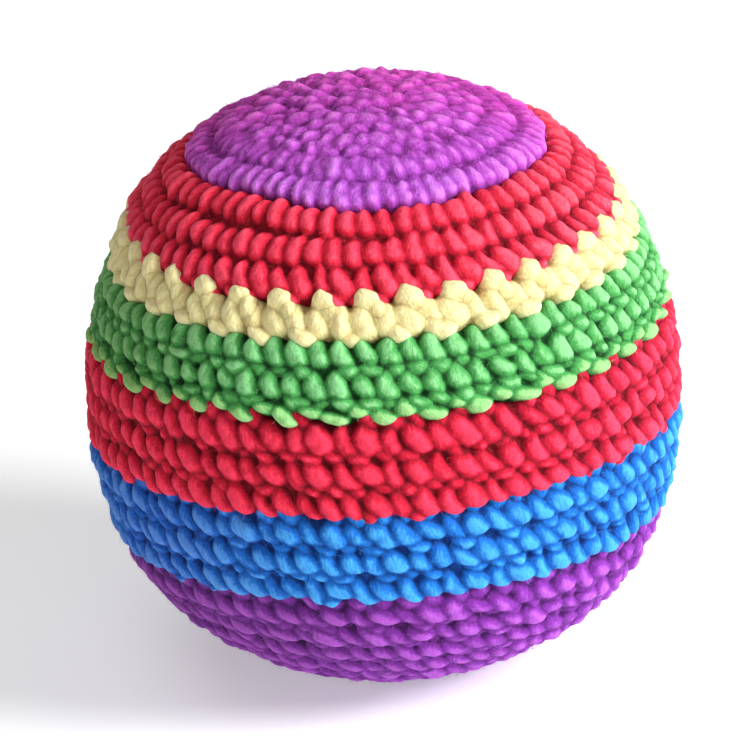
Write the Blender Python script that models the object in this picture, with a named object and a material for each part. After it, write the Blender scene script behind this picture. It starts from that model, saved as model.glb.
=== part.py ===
# A crocheted footbag: seven bands of coloured yarn worked in rounds, closed round a gathered
# cloth pouch of loose pellets. Metres, +Z up, origin where the middle of the base rests.
# Latitudes are angles seen from the middle of the ball: 90 degrees is the top, -90 the base.

import math

import bmesh
import bpy
from mathutils import Vector

# The cover, measured over the crests of its stitches
HALF_WIDTH = 0.0280
HALF_HEIGHT = 0.0284
OUTLINE_EXPONENT = 2.15  # of the outline's superellipse: 2 is an ellipse, more is squarer
REST_FLAT_DEPTH = 0.0006  # how far the base is pressed flat
FABRIC_THICKNESS = 0.0028

# The stitches, drawn closer together towards the two ends of the ball
MIDDLE_STITCH_WIDTH = 0.00455
END_STITCH_WIDTH = 0.00330
ROUND_GROOVE_DEPTH = 0.00080  # the groove between one round and the next
STITCH_NOTCH_DEPTH = 0.00060  # the notch between one stitch and the next
STARTING_STITCHES = 6  # drawn together at each end of the ball
POINTS_PER_CREST = 4
POINTS_PER_GROOVE = 2

# Round one stitch: the long loop, the dip in its V, the short loop, the notch to the next stitch
CREST_DIP_SHARES = (0.0, 0.7, 0.1, 1.0)  # of STITCH_NOTCH_DEPTH
LEAN_SHARE = 0.14  # of a stitch, from the groove above a loop to its crest, and on down
GROOVE_ZIGZAG_SHARE = 0.10  # of the round's height, down over a V and up over a notch
TIPPED_ZIGZAG_SHARE = 0.24  # the same, where pale loops show against a darker band

# From the top down: node, yarn, share of the arc from pole to pole, rounds, edge above tipped
BAND_SHARES = (
    ("crown_purple_band", "purple_yarn", 33.9, 5, False),
    ("upper_red_band", "red_yarn", 18.8, 3, False),
    ("cream_band", "cream_yarn", 7.5, 1, True),
    ("green_band", "green_yarn", 15.6, 2, False),
    ("lower_red_band", "red_yarn", 19.0, 3, True),
    ("blue_band", "blue_yarn", 22.1, 3, False),
    ("base_purple_band", "purple_yarn", 63.1, 10, False),
)

# Between pieces that touch, where each keeps its own surface
CLEARANCE = 0.0003

# The thread that closes the pouch inside, wound twice round its neck
THREAD_RADIUS = 0.00035
THREAD_PITCH = 0.00115  # from the middle of one turn to the middle of the other
THREAD_POINTS = 36

# The pouch, of thin cloth gathered to a neck at the top
POUCH_CLOTH_THICKNESS = 0.0005
NECK_RADIUS = 0.0021  # over the cloth, where the thread draws it in
NECK_BORE_RADIUS = 0.0009
NECK_ROOT_HEIGHT = 0.0006  # from the pouch's shoulder up to the throat under the thread
FRILL_HEIGHT = 0.0011  # from the throat up to the cloth's edge
FRILL_RADIUS = 0.0034
PLEAT_DEPTH = 0.0005
PLEATS = 7
POINTS_PER_PLEAT = 4
POUCH_RINGS = 10

# The pellets, settled against one another and the cloth
PELLET_SPACING = 0.0056
PELLET_HOLLOW_DEPTH = 0.0008  # of the dimples between neighbouring pellets

LINING_SEGMENTS = 36  # round the smooth inside of the cover
LINING_ROUNDS_PER_RING = 2
SMOOTH_ANGLE = math.radians(50)

# Each material's red, green and blue, and its roughness
YARN_ROUGHNESS = 0.92
FINISHES = {
    "purple_yarn": ((0.42, 0.10, 0.50), YARN_ROUGHNESS),
    "red_yarn": ((0.72, 0.03, 0.06), YARN_ROUGHNESS),
    "cream_yarn": ((0.90, 0.80, 0.42), YARN_ROUGHNESS),
    "green_yarn": ((0.10, 0.44, 0.11), YARN_ROUGHNESS),
    "blue_yarn": ((0.03, 0.22, 0.72), YARN_ROUGHNESS),
    "liner_cloth": ((0.78, 0.76, 0.70), 0.85),
    "tie_thread": ((0.86, 0.84, 0.80), 0.70),
    "pellet_plastic": ((0.80, 0.80, 0.78), 0.45),
}

CENTRE_HEIGHT = HALF_HEIGHT - REST_FLAT_DEPTH
THROAT_HEIGHT = THREAD_PITCH + 2 * (THREAD_RADIUS + CLEARANCE)
NECK_HEIGHT = NECK_ROOT_HEIGHT + THROAT_HEIGHT + FRILL_HEIGHT
SHOULDER_HEIGHT = CENTRE_HEIGHT + HALF_HEIGHT - FABRIC_THICKNESS - 2 * CLEARANCE - NECK_HEIGHT


def clear_scene():
    for thing in list(bpy.data.objects):
        bpy.data.objects.remove(thing, do_unlink=True)


def make_material(name):
    colour, roughness = FINISHES[name]
    material = bpy.data.materials.new(name)
    material.use_nodes = True
    shader = material.node_tree.nodes["Principled BSDF"]
    shader.inputs["Base Color"].default_value = (*colour, 1.0)
    shader.inputs["Roughness"].default_value = roughness
    shader.inputs["Metallic"].default_value = 0.0
    material.diffuse_color = (*colour, 1.0)
    return material


def add_object(name, data, material):
    thing = bpy.data.objects.new(name, data)
    thing.data.materials.append(material)
    bpy.context.scene.collection.objects.link(thing)
    return thing


def add_solid(name, shape, material):
    # Faces are turned outwards, then shaded smooth except across the solid's real edges.
    bmesh.ops.recalc_face_normals(shape, faces=shape.faces)
    mesh = bpy.data.meshes.new(name)
    shape.to_mesh(mesh)
    shape.free()
    mesh.shade_smooth()
    mesh.set_sharp_from_angle(angle=SMOOTH_ANGLE)
    return add_object(name, mesh, material)


def superellipse_reach(latitude, half_width, half_height):
    # From the middle to the outline at this latitude: |x / half_width|^n + |z / half_height|^n = 1.
    across = abs(math.cos(latitude) / half_width) ** OUTLINE_EXPONENT
    upward = abs(math.sin(latitude) / half_height) ** OUTLINE_EXPONENT
    return (across + upward) ** (-1 / OUTLINE_EXPONENT)


def ball_point(latitude, azimuth, reach):
    # Azimuth 0 faces -Y, and it grows towards +X.
    out = reach * math.cos(latitude)
    height = CENTRE_HEIGHT + reach * math.sin(latitude)
    return Vector((out * math.sin(azimuth), -out * math.cos(azimuth), height))


def cover_point(latitude, azimuth, inset):
    # A point of the outside. Where the round outline would dip below the ground it lies on it.
    crest_reach = superellipse_reach(latitude, HALF_WIDTH, HALF_HEIGHT)
    point = ball_point(latitude, azimuth, crest_reach - inset)
    if CENTRE_HEIGHT + crest_reach * math.sin(latitude) <= 0:
        point.z = 0
    return point


def hollow_reach(latitude, inset, steps_round, step_along):
    # The facets of a hollow are set out so that their middles, not their corners, keep the inset.
    reach = superellipse_reach(latitude, HALF_WIDTH - inset, HALF_HEIGHT - inset)
    return reach / math.cos(math.pi / steps_round) / math.cos(step_along / 2)


def make_ring(shape, azimuths, place):
    # Each entry is (azimuth, vertex), in order round the ball.
    return [(azimuth, shape.verts.new(place(index, azimuth))) for index, azimuth in enumerate(azimuths)]


def even_azimuths(count, start=0.0):
    return [start + 2 * math.pi * index / count for index in range(count)]


def zip_rings(shape, first, second):
    # Joins two rings of unlike counts with triangles. Each step is taken on the ring whose next
    # vertex comes first round the ball, so the triangles stay short.
    steps_first = steps_second = 0
    while steps_first < len(first) or steps_second < len(second):
        here, there = first[steps_first % len(first)], second[steps_second % len(second)]
        next_first = ring_azimuth(first, steps_first + 1)
        next_second = ring_azimuth(second, steps_second + 1)
        if steps_second == len(second) or (steps_first < len(first) and next_first <= next_second):
            steps_first += 1
            corner = first[steps_first % len(first)][1]
        else:
            steps_second += 1
            corner = second[steps_second % len(second)][1]
        shape.faces.new((here[1], there[1], corner))


def ring_azimuth(ring, step):
    # The azimuth of a ring's vertex, counted on past a full turn.
    return ring[step % len(ring)][0] + 2 * math.pi * (step // len(ring))


def close_pole(shape, ring, tip):
    vertex = shape.verts.new(tip)
    for index, (_, corner) in enumerate(ring):
        shape.faces.new((vertex, corner, ring[(index + 1) % len(ring)][1]))


class Round:
    # One round of stitches between two latitudes, with as many stitches as fit its girth.
    def __init__(self, number, top, bottom, tipped):
        self.number = number
        self.top = top
        self.height = top - bottom
        self.middle = (top + bottom) / 2
        self.tipped = tipped
        reach = superellipse_reach(self.middle, HALF_WIDTH, HALF_HEIGHT)
        girth = 2 * math.pi * reach * math.cos(self.middle)
        drawn_in = math.sin(self.middle) ** 2
        width = MIDDLE_STITCH_WIDTH + (END_STITCH_WIDTH - MIDDLE_STITCH_WIDTH) * drawn_in
        self.stitches = max(STARTING_STITCHES, round(girth / width))
        self.stitch_angle = 2 * math.pi / self.stitches
        self.start = 2 * LEAN_SHARE * number % 1 * self.stitch_angle

    def crest(self, shape):
        # The ring over the loops, which dips as each stitch's four places say.
        def place(index, azimuth):
            dip = CREST_DIP_SHARES[index % POINTS_PER_CREST] * STITCH_NOTCH_DEPTH
            return cover_point(self.middle, azimuth, dip)

        return make_ring(shape, even_azimuths(self.stitches * POINTS_PER_CREST, self.start), place)

    def top_groove(self, shape, side):
        # The groove above this round, with a point over each V and each notch, set back by the
        # lean. At the edge of a band, side is 1 for the band above and -1 for the one below, and
        # each keeps half the clearance to the zigzag between them.
        share = TIPPED_ZIGZAG_SHARE if self.tipped else GROOVE_ZIGZAG_SHARE
        swing = share * self.height
        reach = superellipse_reach(self.top, HALF_WIDTH, HALF_HEIGHT)
        step = self.stitch_angle * math.cos(self.top) / POINTS_PER_GROOVE
        steepness = math.hypot(1, 2 * swing / step)
        half_gap = side * steepness * CLEARANCE / 2 / (reach - FABRIC_THICKNESS)

        def place(index, azimuth):
            latitude = self.top + (swing if index % POINTS_PER_GROOVE else -swing) + half_gap
            return cover_point(latitude, azimuth, ROUND_GROOVE_DEPTH)

        first = self.start + (1 / POINTS_PER_CREST - LEAN_SHARE) * self.stitch_angle
        azimuths = even_azimuths(self.stitches * POINTS_PER_GROOVE, first)
        return make_ring(shape, azimuths, place), self.top + half_gap


def plan_rounds():
    # Every round from the top down, grouped by band.
    whole_arc = sum(band[2] for band in BAND_SHARES)
    top = math.pi / 2
    number = 0
    bands = []
    for name, yarn, arc_share, round_count, tipped in BAND_SHARES:
        height = math.pi * arc_share / whole_arc / round_count
        rounds = []
        for index in range(round_count):
            rounds.append(Round(number, top, top - height, tipped and index == 0))
            top -= height
            number += 1
        bands.append((name, yarn, rounds))
    return bands


def lining_ring(shape, latitude, step_along):
    reach = hollow_reach(latitude, FABRIC_THICKNESS, LINING_SEGMENTS, step_along)
    return make_ring(
        shape, even_azimuths(LINING_SEGMENTS), lambda _, azimuth: ball_point(latitude, azimuth, reach)
    )


def add_band(name, rounds, round_below, material):
    # One band of the cover: rounds of stitches outside, a smooth hollow inside, and an edge wall
    # towards each neighbour. The first and last bands close over a pole instead.
    shape = bmesh.new()
    closes_top = rounds[0].number == 0
    closes_base = round_below is None
    top_latitude, base_latitude = math.pi / 2, -math.pi / 2
    outer = []
    if not closes_top:
        top_ring, top_latitude = rounds[0].top_groove(shape, -1)
        outer.append(top_ring)
    for index, stitches in enumerate(rounds):
        if index > 0:
            outer.append(stitches.top_groove(shape, 0)[0])
        outer.append(stitches.crest(shape))
    if not closes_base:
        base_ring, base_latitude = round_below.top_groove(shape, 1)
        outer.append(base_ring)

    ring_count = 2 + len(rounds) // LINING_ROUNDS_PER_RING
    step_along = (top_latitude - base_latitude) / (ring_count - 1)
    latitudes = [top_latitude - step_along * index for index in range(ring_count)]
    if closes_top:
        latitudes = latitudes[1:]
    if closes_base:
        latitudes = latitudes[:-1]
    inner = [lining_ring(shape, latitude, step_along) for latitude in latitudes]

    for rings in (outer, inner):
        for ring, next_ring in zip(rings, rings[1:]):
            zip_rings(shape, ring, next_ring)
    pole_reach = hollow_reach(math.pi / 2, FABRIC_THICKNESS, LINING_SEGMENTS, step_along)
    for closes, latitude, end in ((closes_top, math.pi / 2, 0), (closes_base, -math.pi / 2, -1)):
        if closes:
            close_pole(shape, outer[end], cover_point(latitude, 0, ROUND_GROOVE_DEPTH))
            close_pole(shape, inner[end], ball_point(latitude, 0, pole_reach))
        else:
            zip_rings(shape, outer[end], inner[end])
    return add_solid(name, shape, material)


def pouch_reach(latitude, inset):
    # The pouch fills the cover but for its flatter top, which leaves room for the neck.
    drop = NECK_HEIGHT + CLEARANCE if latitude > 0 else 0
    inset += FABRIC_THICKNESS + CLEARANCE
    return superellipse_reach(latitude, HALF_WIDTH - inset, HALF_HEIGHT - inset - drop)


def neck_levels(inset):
    # Up the neck: radius, height above the shoulder, and how far its pleats stand in and out.
    root = NECK_BORE_RADIUS if inset else NECK_RADIUS
    frill = FRILL_RADIUS - 2 * inset
    throat_top = NECK_ROOT_HEIGHT + THROAT_HEIGHT
    return (
        (root + 2 * PLEAT_DEPTH, -inset, PLEAT_DEPTH / 2),
        (root, NECK_ROOT_HEIGHT, 0),
        (root, throat_top, 0),
        (frill, NECK_HEIGHT, PLEAT_DEPTH),
    )


def pleated_point(azimuth, radius, height, fold):
    out = radius + fold * math.cos(PLEATS * azimuth)
    return Vector((out * math.sin(azimuth), -out * math.cos(azimuth), SHOULDER_HEIGHT + height))


def pouch_wall(shape, inset):
    # One side of the cloth, from the middle of the base up to the shoulder and the edge of the
    # frill. Inset 0 is the outside.
    azimuths = even_azimuths(PLEATS * POINTS_PER_PLEAT)
    levels = neck_levels(inset)
    shoulder_radius = levels[0][0] + 2 * PLEAT_DEPTH
    last_latitude = math.acos(shoulder_radius / pouch_reach(math.pi / 2, inset))
    rings = []
    for index in range(1, POUCH_RINGS + 1):
        latitude = (last_latitude + math.pi / 2) * index / POUCH_RINGS - math.pi / 2
        reach = pouch_reach(latitude, inset)
        rings.append(make_ring(shape, azimuths, lambda _, azimuth: ball_point(latitude, azimuth, reach)))
    for radius, height, fold in levels:
        rings.append(
            make_ring(shape, azimuths, lambda _, azimuth: pleated_point(azimuth, radius, height, fold))
        )
    close_pole(shape, rings[0], ball_point(-math.pi / 2, 0, pouch_reach(-math.pi / 2, inset)))
    for ring, next_ring in zip(rings, rings[1:]):
        zip_rings(shape, ring, next_ring)
    return rings[-1]


def add_pouch(material):
    shape = bmesh.new()
    outer_edge = pouch_wall(shape, 0)
    inner_edge = pouch_wall(shape, POUCH_CLOTH_THICKNESS)
    zip_rings(shape, outer_edge, inner_edge)
    return add_solid("liner_pouch", shape, material)


def add_tie(material):
    # Two turns that change places once on each lap, so that the thread has no loose end.
    swing = THREAD_PITCH / 2
    middle_radius = NECK_RADIUS + CLEARANCE + THREAD_RADIUS + swing
    middle_height = SHOULDER_HEIGHT + NECK_ROOT_HEIGHT + THROAT_HEIGHT / 2
    curve = bpy.data.curves.new("liner_tie", "CURVE")
    curve.dimensions = "3D"
    curve.bevel_depth = THREAD_RADIUS
    curve.bevel_resolution = 1
    spline = curve.splines.new("POLY")
    spline.points.add(THREAD_POINTS - 1)
    spline.use_cyclic_u = True
    for index, point in enumerate(spline.points):
        turn = 4 * math.pi * index / THREAD_POINTS
        radius = middle_radius + swing * math.sin(turn / 2)
        height = middle_height + swing * math.cos(turn / 2)
        point.co = (radius * math.sin(turn), -radius * math.cos(turn), height, 1)
    return add_object("liner_tie", curve, material)


def add_pellets(material):
    # The heap's outside: one corner for each pellet that lies against the cloth, spread evenly
    # round the ball in a golden-angle spiral, with a dimple pressed into every face between them.
    # It is drawn in a little, because the pouch's flat facets cut inside its round outline.
    facets = math.cos(math.pi / (PLEATS * POINTS_PER_PLEAT)) * math.cos(math.pi / 2 / POUCH_RINGS)
    inset = POUCH_CLOTH_THICKNESS + CLEARANCE
    count = round(4 * math.pi * pouch_reach(0, inset) ** 2 / PELLET_SPACING**2)
    golden_angle = math.pi * (3 - math.sqrt(5))
    shape = bmesh.new()
    for index in range(count):
        latitude = math.asin(1 - (2 * index + 1) / count)
        reach = facets * pouch_reach(latitude, inset)
        shape.verts.new(ball_point(latitude, golden_angle * index, reach))
    bmesh.ops.convex_hull(shape, input=shape.verts)
    bmesh.ops.poke(shape, faces=shape.faces, offset=-PELLET_HOLLOW_DEPTH)
    return add_solid("pellet_fill", shape, material)


def main():
    clear_scene()
    materials = {name: make_material(name) for name in FINISHES}
    bands = plan_rounds()
    for index, (name, yarn, rounds) in enumerate(bands):
        round_below = bands[index + 1][2][0] if index + 1 < len(bands) else None
        add_band(name, rounds, round_below, materials[yarn])
    add_pouch(materials["liner_cloth"])
    add_tie(materials["tie_thread"])
    add_pellets(materials["pellet_plastic"])


main()
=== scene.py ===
import math

import bpy
import numpy as np
from mathutils import Matrix, Vector


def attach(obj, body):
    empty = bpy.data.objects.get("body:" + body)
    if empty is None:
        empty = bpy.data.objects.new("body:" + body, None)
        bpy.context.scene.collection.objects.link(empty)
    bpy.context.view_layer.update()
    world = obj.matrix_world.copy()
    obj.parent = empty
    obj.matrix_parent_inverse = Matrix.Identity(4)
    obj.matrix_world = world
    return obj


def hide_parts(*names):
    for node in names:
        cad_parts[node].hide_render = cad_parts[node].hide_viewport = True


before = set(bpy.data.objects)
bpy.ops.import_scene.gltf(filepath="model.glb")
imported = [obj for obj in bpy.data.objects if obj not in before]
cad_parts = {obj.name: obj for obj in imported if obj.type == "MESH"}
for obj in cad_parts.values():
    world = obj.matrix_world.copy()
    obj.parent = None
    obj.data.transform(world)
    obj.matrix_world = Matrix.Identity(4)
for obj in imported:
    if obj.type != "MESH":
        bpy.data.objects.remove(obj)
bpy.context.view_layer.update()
print("footbag: frame loaded")

mm = 0.001
deg = math.pi / 180

# The ball that every round of stitches lies on, as in the CAD.
ball = {
    "halfWidth": 28.0 * mm,
    "halfHeight": 28.4 * mm,
    "centreHeight": 27.8 * mm,
    "outlineExponent": 2.15,
    # where the filling bulges: latitude and azimuth in degrees, height, spread in degrees
    "bulges": (
        (-40, 69, 1.0 * mm, 17),
        (50, -120, 0.35 * mm, 20),
        (24, -95, -0.5 * mm, 15),
        (-34, -73, 0.4 * mm, 14),
    ),
    "sag": 1.2,              # how many degrees lower the rounds lie at the sides and the back
    # where they lie higher, or lower if negative: latitude, azimuth, by how much, and how far that
    # spreads up and round the ball, all in degrees
    "strays": ((56, 100, -2.0, 14, 45), (56, -105, -2.0, 14, 45), (57, -47, 2.2, 9, 20)),
}

# What all the yarn shares, in mm except where it says.
yarn = {
    "cell": 0.145,           # the surface's grid, where a band has no cell of its own
    "softness": 4,           # how many times the skin is softened, where a band doesn't say
    "seamDepth": 0.22,       # of the crease where two lobes meet
    "seamReach": 0.24,       # how much lower the lower lobe is where that crease ends
    # painted shade: creases are coloured as if they lay this much deeper
    "paintedSeamShade": 1.10,       # how deep that crease looks by its colour, beside its real depth
    "seamSoftness": 2,       # how many times that shade is softened
    "gapDepth": 1.20,        # how far below the outline the holes between lobes end
    "hiddenDepth": 2.6,      # how far below it a band goes on under its neighbour
    "hiddenReach": 1.6,      # how far it goes on there
    "edgeFall": 1.5,         # how far before its edge its gaps start to go down there
    "innerDepth": 3.0,       # of the inner skin
    "innerStep": 4 * deg,    # between the inner skin's rows
    "farBelow": 9,           # deeper than anything that shows
    "stitchWidth": 4.5,      # the stitch that the lobes below are drawn for
    "stitchHeight": 3.13,
    "patch": 2.6,            # no lobe reaches further from its middle
    "poleRadius": 0.5,       # the least radius that a patch's columns are counted at
    "wander": 0.07,          # how far lobes stray
    "endPower": 3.2,         # how suddenly a lobe's height falls towards its ends, and towards
    "sidePower": 2.0,        # its sides: 2 as on a ball, more is later
    "roundness": 0.52,       # 0.5 is a ball's slope, 1 a soft hill's
    "lobeHeight": 1.45,      # from a lobe's foot to its top
    "flatten": 0.6,          # how much of a lobe's height shrinks with its stitch's width
    "tilt": 0.08,            # a lobe's upper end lies this much lower, tucked under the next round
    "side": 0.08,            # and its right side this much higher, on top of its neighbour
    "strandLength": 60,      # of yarn, along which each lobe starts anywhere
    "toneSpread": 0.9,       # tones go from 0 to this, and a pale lobe's are this much more:
    "paleTone": 1.05,
    # painted shade: hollows below the softened skin are coloured darker by this share
    "paintedHollowShade": 1.3,      # how much a hollow counts beside plain depth in the yarn's colour
    "hollowSoftness": 14,    # a hollow lies below the skin softened that many times
    "lumps": 0.045,          # unevenness, of noise softened that many times:
    "lumpSoftness": 6,
}

# The lobes of one stitch, in mm of the widest stitch: middle along the round and up it, length,
# width, lean to the left in degrees, bend, top above the outline, then how much lean, size
# and top differ from lobe to lobe, and the share of stitches that have it.
lobes = {
    "upright": (1.00, 1.60, 3.45, 2.55, 4, 0.20, 0.00, 10, 0.08, 0.11, 1),
    "uprightPair": (3.25, 1.62, 3.35, 2.45, 14, 0.20, -0.03, 12, 0.09, 0.12, 1),
    "rim": (1.00, 1.66, 3.45, 2.85, 2, 0.16, -0.10, 12, 0.10, 0.10, 1),
    "rimPair": (3.25, 1.68, 3.35, 2.75, 8, 0.16, -0.13, 14, 0.12, 0.12, 1),
    "leg": (0.90, 1.80, 3.35, 2.35, 20, 0.26, 0.02, 8, 0.08, 0.09, 1),
    "pair": (3.10, 1.85, 3.25, 2.35, 32, 0.20, 0.00, 9, 0.08, 0.09, 1),
    "bar": (1.35, 0.22, 3.00, 1.65, 72, 0.12, -0.08, 12, 0.14, 0.13, 1),
    "barPair": (3.60, 0.15, 2.60, 1.50, 78, 0.12, -0.14, 14, 0.16, 0.14, 0.8),
    "crescent": (0.75, 1.60, 4.10, 2.10, 34, 0.34, -0.02, 8, 0.07, 0.09, 1),
    "oval": (2.85, 1.75, 3.80, 2.45, 42, 0.16, 0.04, 9, 0.08, 0.09, 1),
    "slant": (1.75, 0.10, 2.90, 1.55, 66, 0.15, -0.14, 9, 0.09, 0.09, 1),
    "bead": (4.05, 0.20, 2.10, 1.50, 62, 0.0, -0.20, 14, 0.12, 0.10, 0.7),
    "edgeBar": (1.75, 0.45, 2.70, 1.70, 60, 0.15, -0.10, 12, 0.12, 0.12, 0.35),
    "over": (0.60, 3.50, 2.60, 2.50, 22, 0.0, -0.36, 14, 0.13, 0.08, 0.95),
    "overPair": (2.80, 3.55, 2.50, 2.40, 28, 0.0, -0.42, 14, 0.13, 0.08, 0.85),
    "lump": (0.50, 0.70, 2.70, 2.50, 0, 0.1, -0.06, 90, 0.16, 0.13, 1),
    "lumpLeft": (1.70, 2.20, 2.60, 2.50, 0, 0.1, -0.10, 90, 0.16, 0.13, 1),
    "lumpRight": (2.90, 0.80, 2.60, 2.40, 0, 0.1, -0.08, 90, 0.16, 0.13, 1),
    "lumpOver": (4.00, 2.30, 2.60, 2.50, 0, 0.1, -0.06, 90, 0.16, 0.13, 1),
    "cap": (0.00, 1.60, 2.80, 4.20, 30, 0.0, -0.05, 0, 0, 0, 1),
    "creamLeg": (0.85, 1.75, 3.60, 2.30, 16, 0.20, 0.05, 8, 0.08, 0.10, 1),
    "creamPair": (2.95, 1.65, 3.80, 2.40, 34, 0.15, 0.05, 9, 0.08, 0.10, 1),
    "creamTail": (1.60, 0.38, 3.20, 1.90, 74, 0.18, 0.12, 8, 0.08, 0.10, 1),
    "neck": (-0.20, 2.75, 2.80, 2.10, 34, 0.0, 0.16, 7, 0.08, 0.08, 1),
    "tip": (-1.10, 3.55, 3.10, 2.40, 78, 0.0, 0.36, 9, 0.08, 0.08, 1),
    "hang": (1.05, 1.50, 3.20, 2.30, 50, 0.12, 0.18, 10, 0.09, 0.08, 1),
    "hangPair": (3.25, 2.55, 2.90, 2.15, 58, 0.12, 0.08, 12, 0.10, 0.08, 1),
}


def smoothStep(value):
    # 0 below 0, 1 above 1, and 3v2 - 2v3 between
    value = np.clip(value, 0, 1)
    return value * value * (3 - 2 * value)


def hump(cosine, spread):
    # 1 at its middle, falling as exp((cosine of the angle to it - 1) / spread^2)
    return np.exp((cosine - 1) / (spread * deg) ** 2)


def turns(count):
    # that many equal steps of one turn, from 0
    return np.arange(count) * 2 * math.pi / count


def together(*arrays):
    # arrays and numbers side by side along a last axis
    return np.stack(np.broadcast_arrays(*arrays), axis=-1)


def roundAxis(radius, azimuth, height):
    # straight coordinates from radius, azimuth and height. Azimuth 0 faces the camera
    return together(radius * np.sin(azimuth), -radius * np.cos(azimuth), height)


def ellipseReach(latitude, halfWidth, halfHeight):
    # superellipse: how far from the centre (across / half width) and (up / half height), each to
    # the exponent, add up to 1
    across = np.abs(np.cos(latitude)) / halfWidth
    up = np.abs(np.sin(latitude)) / halfHeight
    n = ball["outlineExponent"]
    return (across ** n + up ** n) ** (-1 / n)


def outlineReach(latitude):
    return ellipseReach(latitude, ball["halfWidth"], ball["halfHeight"])


def ballPoint(latitude, azimuth, depth):
    # The latitude goes down by sag x smoothStep(1 - cos azimuth), less within 30 degrees of a pole,
    # and up by each stray x exp(-(distance in latitude / spread)^2) x a hump in azimuth. The point
    # lies at the outline's reach there, less the depth, plus each bulge's height x its hump
    move = -ball["sag"] * smoothStep(1 - np.cos(azimuth)) * np.minimum(1, 2 * np.cos(latitude))
    for middle, side, high, spread, sideSpread in ball["strays"]:
        level = np.exp(-((latitude - middle * deg) / (spread * deg)) ** 2)
        move = move + high * level * hump(np.cos(azimuth - side * deg), sideSpread)
    latitude = latitude + move * deg
    reach = outlineReach(latitude) - depth
    for middle, side, high, spread in ball["bulges"]:
        near = np.cos(latitude) * math.cos(middle * deg) * np.cos(azimuth - side * deg)
        near = np.sin(latitude) * math.sin(middle * deg) + near
        reach = reach + high * hump(near, spread)
    return roundAxis(reach * np.cos(latitude), azimuth, ball["centreHeight"] + reach * np.sin(latitude))


def eastAndNorth(latitude, azimuth):
    # unit vectors along the round and up the ball at a place on it
    east = together(np.cos(azimuth), np.sin(azimuth), 0.0)
    inward = np.sin(latitude)
    return east, together(-inward * np.sin(azimuth), inward * np.cos(azimuth), np.cos(latitude))


def gridCells(rows, around):
    # row and column of every cell of these rows, as two flat arrays
    return (a.ravel() for a in np.meshgrid(rows, np.arange(around), indexing="ij"))


def gridQuads(row, column, nextRow, nextColumn, around):
    # point numbers of a cell's corners, where each row has that many points
    low, high = row * around, nextRow * around
    return together(low + column, low + nextColumn, high + nextColumn, high + column)


def gridFan(row, column, nextColumn, around, pole):
    # triangles from a row's points to one point that closes it
    return together(row * around + column, row * around + nextColumn, pole)


def inset(value, margin):
    # 0 to 1 drawn in by a margin at both ends: margin + (1 - 2 margin) value
    return margin + (1 - 2 * margin) * value


def mapOf(*corners):
    # places on the map of faces' corners, each given as its places across and up
    return np.stack([together(*corner) for corner in corners], axis=1)


def makeMesh(name, points, quads, triangles, pointValues, cornerMap):
    # faces as flat arrays straight into the mesh
    mesh = bpy.data.meshes.new(name)
    mesh.vertices.add(len(points))
    mesh.vertices.foreach_set("co", np.asarray(points, np.float32).ravel())
    corners = np.concatenate([quads.ravel(), triangles.ravel()]).astype(np.int32)
    starts = np.concatenate([np.arange(len(quads)) * 4, 4 * len(quads) + np.arange(len(triangles)) * 3])
    mesh.loops.add(len(corners))
    mesh.loops.foreach_set("vertex_index", corners)
    mesh.polygons.add(len(starts))
    mesh.polygons.foreach_set("loop_start", starts.astype(np.int32))
    mesh.polygons.foreach_set("use_smooth", np.ones(len(starts), bool))
    mesh.update(calc_edges=True)
    layer = mesh.uv_layers.new(name="OFBake")  # the map that the piece's colours can be baked on
    layer.uv.foreach_set("vector", cornerMap.astype(np.float32).ravel())
    for key, values in pointValues.items():
        kind, field = ("FLOAT_VECTOR", "vector") if values.ndim == 2 else ("FLOAT", "value")
        attribute = mesh.attributes.new(key, kind, "POINT")
        attribute.data.foreach_set(field, values.astype(np.float32).ravel())
    piece = bpy.data.objects.new(name, mesh)
    bpy.context.scene.collection.objects.link(piece)
    return piece


def standFor(piece, node):
    # the piece rides on the object's one body and shows instead of the node
    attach(piece, "root")
    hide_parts(node)


def soften(field, times, widths):
    # as if each value became half of itself and a quarter of both neighbours that many times.
    # Round the ball it is the Gauss filter of the same spread, sqrt(times / 2) cells over the row's
    # share of the widest row, so that it is as soft near a pole
    around = field.shape[1]
    waves = 2 * math.pi * np.arange(around // 2 + 1) / around
    spread = math.sqrt(times / 2) / np.maximum(widths, 1e-3)
    kept = np.exp(-(waves[None, :] * spread[:, None]) ** 2 / 2)
    field = np.fft.irfft(np.fft.rfft(field, axis=1) * kept, around, axis=1)
    for step in range(times):
        tall = np.concatenate([field[:1], field, field[-1:]])
        field = (tall[:-2] + 2 * field + tall[2:]) / 4
    return field


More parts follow.
